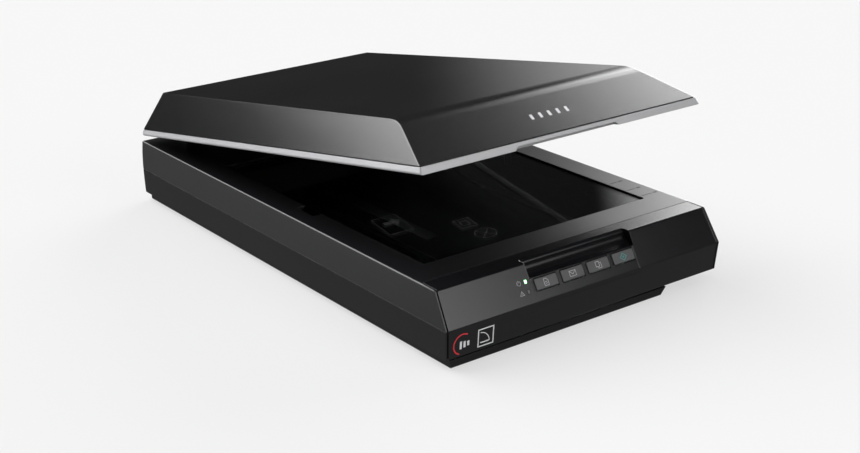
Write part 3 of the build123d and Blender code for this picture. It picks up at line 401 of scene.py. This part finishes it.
mark_ink = moulded("mark_ink", (0.004, 0.004, 0.004), 0.8, grain=0.0002, depth=0.03, edge_highlight=0.0, shine=0.05)
frame_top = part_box("upper_case")[1][2]
for tag, edge_y, length in (("a4", -136.0, 9.0), ("letter", -157.8, 9.0), ("corner", -175.0, 12.0)):
    marks = ribbon([(0, 0), (length, 0)], MARK_WIDE)
    marks += [oblong(length + 2.2 + i * 1.5, 0, 0.8, 2.0) for i in range(3)]
    printed("size_mark_" + tag, "upper_case", "base", mark_ink,
            (MARK_X, edge_y * MM, frame_top), RIGHT, BACK, marks)

# ---------------------------------------------------------------- control panel
# The front fascia is a separate satin moulding clipped over the case. A finger scoop is cut in
# it for lifting the lid, with a gloss lip behind, and the button insert clips in below.

fascia_black = moulded("fascia_black", (0.006, 0.006, 0.007), 0.17, shine=0.4)
finish(fascia_black, "front_fascia", "button_insert")
panel_up = Vector((0, 0.5155, 0.857)).normalized()

# ---------------------------------------------------------------- buttons
# Four satin grey caps stand in the insert, each on its own spring finger over a switch. Their
# pictograms are pad-printed, three in grey ink and the fourth in blue-green.

button_grey = moulded("button_grey", (0.05, 0.05, 0.053), 0.36, grain=0.0002)
finish(button_grey, "pdf_button", "email_button", "copy_button", "start_button")
sign_ink = moulded("sign_ink", (0.42, 0.42, 0.43), 0.5, grain=0.0002, depth=0.03, clouds=0.08, edge_highlight=0.0)
teal_ink = moulded("teal_ink", (0.03, 0.30, 0.27), 0.5, grain=0.0002, depth=0.03, clouds=0.08, edge_highlight=0.0)
LINE = 0.46


def button_face(name):
    """Middle of a cap's outer face."""
    low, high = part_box(name)
    return (Vector(low) + Vector(high)) / 2


page = ribbon([(-2.2, -2.7), (1.8, -2.7), (1.8, 1.1), (0.2, 2.7), (-2.2, 2.7)], LINE, True)
page += ribbon([(-1.2, -1.1), (0.8, -1.1)], LINE) + ribbon([(-1.2, 0.2), (0.8, 0.2)], LINE)
envelope = ribbon(oblong(0, 0, 6.2, 4.2), LINE, True) + ribbon([(-2.8, 1.8), (0, -0.6), (2.8, 1.8)], LINE)
sheets = ribbon(oblong(-0.8, 0.7, 3.4, 4.0), LINE, True)
sheets += ribbon([(1.5, 1.4), (2.8, 1.4), (2.8, -2.6), (-0.6, -2.6), (-0.6, -1.8)], LINE)
diamond = ribbon([(0, -2.9), (3.2, 0), (0, 2.9), (-3.2, 0)], LINE * 1.1, True) + [oblong(0, 0, 1.3, 1.3)]
for button, sign, ink in (
    ("pdf_button", page, sign_ink),
    ("email_button", envelope, sign_ink),
    ("copy_button", sheets, sign_ink),
    ("start_button", diamond, teal_ink),
):
    printed(button + "_sign", button, button, ink, button_face(button), RIGHT, panel_up, sign)

# ---------------------------------------------------------------- indicator lights
# Two clear light pipes come up through the fascia from lamps on the switch board. The upper one
# shows green while the scanner is ready; the lower one stays dark. Small printed signs name them.

FINE = 0.42
SIGN_GAP = 5.5 * MM


def lit(name, colour, strength):
    """Light pipe with its lamp on behind it."""
    material = clear(name, colour, 0.2, 0.5, through=0.3)
    surface = material.node_tree.nodes["Principled BSDF"]
    surface.inputs["Emission Color"].default_value = (*colour, 1)
    surface.inputs["Emission Strength"].default_value = strength
    return material


finish(lit("ready_green", (0.55, 1.0, 0.65), 1.3), "ready_light")
finish(clear("pipe_dark", (0.16, 0.15, 0.15), 0.25, 0.5, through=0.4), "error_light")
for light, sign in (
    ("ready_light", ribbon(arc(0, 0, 1.7, 125, 415), FINE) + ribbon([(0, 0.4), (0, 2.3)], FINE)),
    ("error_light", ribbon([(-2.0, -1.5), (2.0, -1.5), (0, 1.8)], FINE, True) + [oblong(0, -0.2, 0.4, 1.1)]),
):
    low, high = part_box(light)
    beside = Vector((low[0] - SIGN_GAP, (low[1] + high[1]) / 2, (low[2] + high[2]) / 2))
    printed(light + "_sign", "front_fascia", "base", sign_ink, beside, RIGHT, panel_up, sign)

# ---------------------------------------------------------------- badges
# Two small generic badges are printed low on the front: a red ring segment with bars, and a
# square outline with a rising curve.

white_ink = moulded("white_ink", (0.7, 0.7, 0.7), 0.45, grain=0.0002, depth=0.03, clouds=0.05, edge_highlight=0.0)
red_ink = moulded("red_ink", (0.62, 0.015, 0.025), 0.45, grain=0.0002, depth=0.03, clouds=0.08, edge_highlight=0.0)
front_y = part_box("front_fascia")[0][1]
BADGE_Z = 0.0180
ring_place = (-0.124, front_y, BADGE_Z)
square_place = (-0.1025, front_y, BADGE_Z)
printed("ring_badge", "front_fascia", "base", red_ink, ring_place, RIGHT, UP,
        ribbon(arc(0, 0, 8.2, 58, 250), 1.2))
printed("bar_badge", "front_fascia", "base", white_ink, ring_place, RIGHT, UP,
        [oblong(-1.6 + i * 3.4, -0.6, 2.0, 6.4 - i * 1.2) for i in range(3)])
printed("square_badge", "front_fascia", "base", white_ink, square_place, RIGHT, UP,
        ribbon(oblong(0, 0, 14.0, 14.0), 1.0, True) + ribbon(arc(-6.0, -5.0, 9.5, 5, 85), 0.7)
        + [oblong(-1.0, -4.0, 8.0, 1.0)])

# ---------------------------------------------------------------- hinge posts
# Two ribbed acetal posts slide up and down in sleeves at the back of the case, so that the lid
# lies flat on a thick book. A turned steel pin joins each to a bracket under the lid. The sliding
# lever of the transport lock, in the rear wall, is moulded in the same plastic.

hinge_black = moulded("hinge_black", (0.014, 0.014, 0.015), 0.42, grain=0.0004)
finish(hinge_black, "left_hinge_post", "right_hinge_post", "left_hinge_bracket", "right_hinge_bracket")
finish(hinge_black, "transport_lock")
finish(metal("pin_steel", (0.6, 0.61, 0.62), 0.25, (0.05, 1, 1)), "left_hinge_pin", "right_hinge_pin")

# ---------------------------------------------------------------- lid liner
# The underside of the lid is a flat black moulding with a smoked window for the film backlight.
# Behind the window lie a diffuser, an edge-lit acrylic plate and its lamp board.

liner_black = moulded("liner_black", (0.004, 0.004, 0.0045), 0.28, grain=0.0004, depth=0.05, shine=0.2)
finish(liner_black, "lid_inner_panel")
finish(clear("smoked_window", (0.03, 0.03, 0.035), 0.1, 0.4, through=0.6), "backlight_window")
diffuser_white = moulded(
    "diffuser_white", (0.8, 0.8, 0.8), 0.55, grain=0.0002, depth=0.02, clouds=0.02, edge_highlight=0.0
)
finish(diffuser_white, "backlight_diffuser")
finish(clear("guide_acrylic", (0.9, 0.93, 0.93), 0.1, 0.5), "light_guide_plate")
finish(moulded("bumper_rubber", (0.02, 0.02, 0.02), 0.8, grain=0.0005, depth=0.15, shine=0.2), "lid_bumpers")

LID_LEAN = math.radians(9.8)
LID_AXIS = Vector((0, 0.2377, 0.066))
LID_RAISED = Vector((0, 0, 0.006))
LINER_Z = 60
SIGN_WIDE = 0.8
lean = Matrix.Rotation(-LID_LEAN, 3, "X")


def on_lid(x, y, z):
    """Where a place on the closed lid, in millimetres, is while the lid stands ajar."""
    return lean @ (Vector((x, y, z)) * MM - LID_AXIS) + LID_AXIS + LID_RAISED


guide_ink = moulded("guide_ink", (0.8, 0.8, 0.8), 0.5, grain=0.0002, depth=0.03, clouds=0.08, edge_highlight=0.0)
lid_forward = lean @ Vector((0, 1, 0))
arrow = ribbon(oblong(0, 0, 26, 30), 0.9, True) + [oblong(1, 4, 12, 4.5), [(-11, 4), (-4, -3), (-4, 11)]]
crossed = ribbon(arc(0, 0, 11.0, 0, 360, 36, 0.75)[:-1], SIGN_WIDE, True)
crossed += ribbon([(-6, -5), (6, 5)], SIGN_WIDE)
crossed += ribbon([(-6, 5), (6, -5)], SIGN_WIDE)
slide = ribbon(oblong(0, 0, 17, 15), SIGN_WIDE, True) + ribbon(oblong(0, 0, 8, 7), SIGN_WIDE, True)
for tag, x, y, sign in (("load", -10, 8, arrow), ("slide", 50, -21, slide), ("keep_off", 56, -44, crossed)):
    printed("lid_sign_" + tag, "lid_inner_panel", "lid", guide_ink,
            on_lid(x, y, LINER_Z), (-1, 0, 0), lid_forward, sign)

# ---------------------------------------------------------------- lid
# The lid shell is moulded in black with a coarser grain, four flat facets meeting at sharp
# corners and a rolled front bend. A separate rim closes its lower edge all round; its outer
# faces are silver, and its downward faces are coloured black as painted shade.

UNDERSIDE = -0.8
silver_paint = moulded(
    "silver_paint", (0.38, 0.38, 0.39), 0.42, grain=0.0002, depth=0.04, clouds=0.03, edge_highlight=0.2
)
coat = silver_paint.node_tree
coated = coat.nodes["Principled BSDF"]
# Painted shade: rim faces turned downward are coloured black and lose the metallic share of the silver.
masked = coat.nodes.new("ShaderNodeTexCoord")
facing_down = coat.nodes.new("ShaderNodeVectorMath")
facing_down.operation = "DOT_PRODUCT"
facing_down.inputs[1].default_value = (0, 0, 1)
link(coat, masked.outputs["Normal"], facing_down.inputs[0])
silver_faces = coat.nodes.new("ShaderNodeMath")
silver_faces.operation = "GREATER_THAN"
silver_faces.inputs[1].default_value = UNDERSIDE
link(coat, facing_down.outputs["Value"], silver_faces.inputs[0])
underside_shade_mix = coat.nodes.new("ShaderNodeMix")
underside_shade_mix.data_type = "RGBA"
underside_shade_mix.inputs["A"].default_value = (0.012, 0.012, 0.013, 1)
link(coat, silver_faces.outputs["Value"], underside_shade_mix.inputs["Factor"])
link(coat, coated.inputs["Base Color"].links[0].from_socket, underside_shade_mix.inputs["B"])
link(coat, underside_shade_mix.outputs["Result"], coated.inputs["Base Color"])
link(coat, spread_over(coat, silver_faces.outputs["Value"], 0.0, 0.35), coated.inputs["Metallic"])
finish(silver_paint, "lid_trim_frame")
lid_black = moulded(
    "lid_black", (0.008, 0.008, 0.0085), 0.16, grain=0.0008, depth=0.07, edge=0.0007, edge_highlight=0.1
)
finish(lid_black, "lid_top_shell")
emblem_silver = moulded(
    "emblem_silver", (0.42, 0.42, 0.43), 0.4, grain=0.0002, depth=0.03, clouds=0.04, edge_highlight=0.0
)
slope_up = lean @ Vector((0, 53.5, 28.0)).normalized()
BAR_PITCH = 8.75
bars = [
    [(u - 2.7, -3.2), (u - 0.1, -3.2), (u + 1.4, 3.2), (u - 1.2, 3.2)]
    for u in [BAR_PITCH * step for step in (-2, -1, 0, 1, 2)]
]
printed("lid_emblem", "lid_top_shell", "lid", emblem_silver,
        on_lid(3.0, -197.5, 77.5), RIGHT, slope_up, bars)

# ---------------------------------------------------------------- camera
# A short telephoto lens looks down on the left front corner from a little above the lid.

lens_place = Vector((-0.7232, -1.0303, 0.4857))
heading = math.radians(35.95)
dip = math.radians(20.77)
tilt = math.radians(-1.35)
forward = Vector((math.sin(heading) * math.cos(dip), math.cos(heading) * math.cos(dip), -math.sin(dip)))
level = forward.cross(Vector((0, 0, 1))).normalized()
upward = level.cross(forward)
across = level * math.cos(tilt) + upward * math.sin(tilt)
upright = upward * math.cos(tilt) - level * math.sin(tilt)
view = bpy.data.cameras.new("camera")
view.lens = 62.9
camera = bpy.data.objects.new("camera", view)
bpy.context.scene.collection.objects.link(camera)
camera.matrix_world = Matrix((
    (across.x, upright.x, -forward.x, lens_place.x),
    (across.y, upright.y, -forward.y, lens_place.y),
    (across.z, upright.z, -forward.z, lens_place.z),
    (0, 0, 0, 1),
))
bpy.context.scene.camera = camera
bpy.context.scene.view_settings.view_transform = "Standard"

# ---------------------------------------------------------------- studio
# The scanner stands on a wide sheet of matt white board before a plain pale backdrop. The light
# comes from soft round sources: one overhead, several low on the right and left, one in front.
# Each source has a compass bearing and a height in degrees, an inner and an outer radius in
# degrees between which it fades out, and a strength.

FLOOR_HALF = 12
FLOOR_DROP = -0.0002
mesh = bpy.data.meshes.new("floor")
corners = [(x * FLOOR_HALF, y * FLOOR_HALF) for x, y in ((-1, -1), (1, -1), (1, 1), (-1, 1))]
mesh.from_pydata([(x, y, FLOOR_DROP) for x, y in corners], [], [(0, 1, 2, 3)])
floor = bpy.data.objects.new("floor", mesh)
bpy.context.scene.collection.objects.link(floor)
board = bpy.data.materials.new("floor_white")
board.use_nodes = True
satin = board.node_tree.nodes["Principled BSDF"]
satin.inputs["Base Color"].default_value = (0.18, 0.18, 0.18, 1)
satin.inputs["Emission Color"].default_value = (1, 1, 1, 1)
satin.inputs["Emission Strength"].default_value = 0.60
satin.inputs["Roughness"].default_value = 0.15
satin.inputs["Specular IOR Level"].default_value = 0.0
floor.data.materials.append(board)
floor.visible_glossy = False

backdrop_form = bmesh.new()
bmesh.ops.create_uvsphere(backdrop_form, u_segments=64, v_segments=32, radius=FLOOR_HALF)
below = [v for v in backdrop_form.verts if v.co.z < -FLOOR_HALF * 0.2]
bmesh.ops.delete(backdrop_form, geom=below, context="VERTS")
mesh = bpy.data.meshes.new("backdrop")
backdrop_form.to_mesh(mesh)
backdrop_form.free()
backdrop = bpy.data.objects.new("backdrop", mesh)
bpy.context.scene.collection.objects.link(backdrop)
haze = bpy.data.materials.new("backdrop_white")
haze.use_nodes = True
pale = haze.node_tree.nodes["Principled BSDF"]
pale.inputs["Base Color"].default_value = (0, 0, 0, 1)
pale.inputs["Specular IOR Level"].default_value = 0.0
pale.inputs["Emission Color"].default_value = (1, 1, 1, 1)
pale.inputs["Emission Strength"].default_value = 0.93
backdrop.data.materials.append(haze)
backdrop.visible_diffuse = False
backdrop.visible_glossy = False
backdrop.visible_transmission = False
backdrop.visible_volume_scatter = False
backdrop.visible_shadow = False

EVEN_LIGHT = 0.02
world = bpy.data.worlds.new("room")
world.use_nodes = True
bpy.context.scene.world = world
room = world.node_tree
room.nodes["Background"].inputs["Color"].default_value = (1, 1, 1, 1)
facing = room.nodes.new("ShaderNodeTexCoord").outputs["Generated"]
glow = None
for name, compass, height, inner, outer, strength in (
    ("overhead", 36, 90, 10, 30, 2.4),
    ("right_panel", 76, 12, 27, 33, 4.5),
    ("right_key", 60, 27, 9, 14.5, 3.4),
    ("right_horizon", 64, -2, 8, 30, 1.8),
    ("left_panel", -28, 44, 22, 30, 7.0),
    ("left_strip", -47, 2, 6, 18, 4.5),
    ("front_panel", 158, 27, 10, 20, 4.6),
    ("board_bounce", 0, -90, 50, 88, 0.28),
):
    towards = (
        math.sin(math.radians(compass)) * math.cos(math.radians(height)),
        math.cos(math.radians(compass)) * math.cos(math.radians(height)),
        math.sin(math.radians(height)),
    )
    lamp = room.nodes.new("ShaderNodeVectorMath")
    lamp.operation = "DOT_PRODUCT"
    lamp.inputs[1].default_value = towards
    link(room, facing, lamp.inputs[0])
    edge = room.nodes.new("ShaderNodeMapRange")
    edge.interpolation_type = "SMOOTHSTEP"
    edge.inputs["From Min"].default_value = math.cos(math.radians(outer))
    edge.inputs["From Max"].default_value = math.cos(math.radians(inner))
    edge.inputs["To Max"].default_value = strength
    link(room, lamp.outputs["Value"], edge.inputs["Value"])
    if glow is None:
        glow = edge.outputs["Result"]
    else:
        total = room.nodes.new("ShaderNodeMath")
        total.operation = "ADD"
        link(room, glow, total.inputs[0])
        link(room, edge.outputs["Result"], total.inputs[1])
        glow = total.outputs["Value"]
total = room.nodes.new("ShaderNodeMath")
total.operation = "ADD"
total.inputs[1].default_value = EVEN_LIGHT
link(room, glow, total.inputs[0])
link(room, total.outputs["Value"], room.nodes["Background"].inputs["Strength"])
